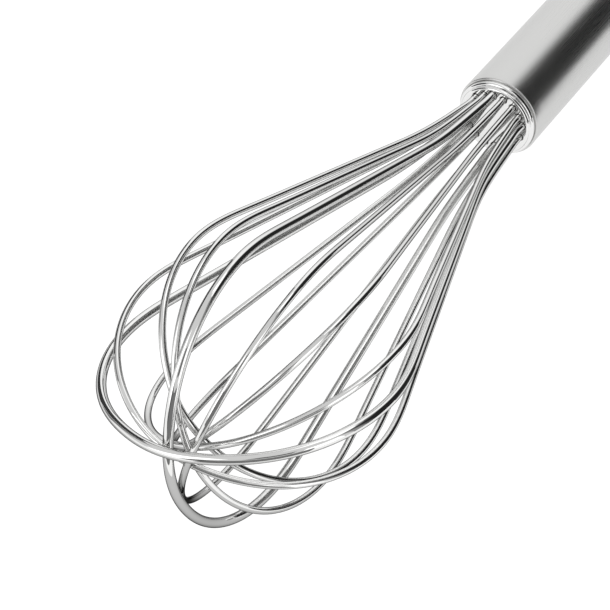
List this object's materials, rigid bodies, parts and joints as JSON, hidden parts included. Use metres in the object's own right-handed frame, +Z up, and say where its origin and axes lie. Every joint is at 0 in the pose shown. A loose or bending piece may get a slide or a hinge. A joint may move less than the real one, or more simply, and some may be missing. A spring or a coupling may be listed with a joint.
{
  "type": "balloon whisk",
  "caption": "Balloon whisk: closed wire loops held in a drilled plug at the end of a round brushed steel tube handle, with a loose hanging ring.",
  "frame": {"origin": "centre of the bounding box's base, on the table the whisk lies on", "axes": "+X points from the handle to the tip, +Z up from the table; the handle's axis rises 6.1 degrees towards the tip"},
  "size_m": [0.327, 0.0768, 0.0799],
  "materials": {
    "satin_tube": "satin, brushed along the tube",
    "polished_plug": "polished stainless steel",
    "polished_wire": "polished stainless steel wire",
    "polished_cap": "polished stainless steel",
    "polished_ring": "polished stainless steel",
    "plain_steel": "as rolled",
    "resin": "cast epoxy",
    "seal_rubber": "matt"
  },
  "bodies": {
    "whisk": {"handle_tube": "satin_tube", "wire_plug": "polished_plug", "wire_loop_1": "polished_wire", "wire_loop_2": "polished_wire", "wire_loop_3": "polished_wire", "wire_loop_4": "polished_wire", "wire_loop_5": "polished_wire", "wire_loop_6": "polished_wire", "wire_loop_7": "polished_wire", "wire_loop_8": "polished_wire", "anchor_plate": "plain_steel", "sealing_resin": "resin", "end_cap": "polished_cap", "cap_seal": "seal_rubber", "hanging_eye": "polished_cap", "eye_nut": "plain_steel"},
    "ring": {"hanging_ring": "polished_ring"}
  },
  "joints": [
    {"name": "ring_swing", "type": "hinge", "parent": "whisk", "child": "ring", "pos_m": [-0.14486, 0.00215, 0.01121], "axis": [0, 1, 0], "range_deg": [-109, 156]}
  ]
}
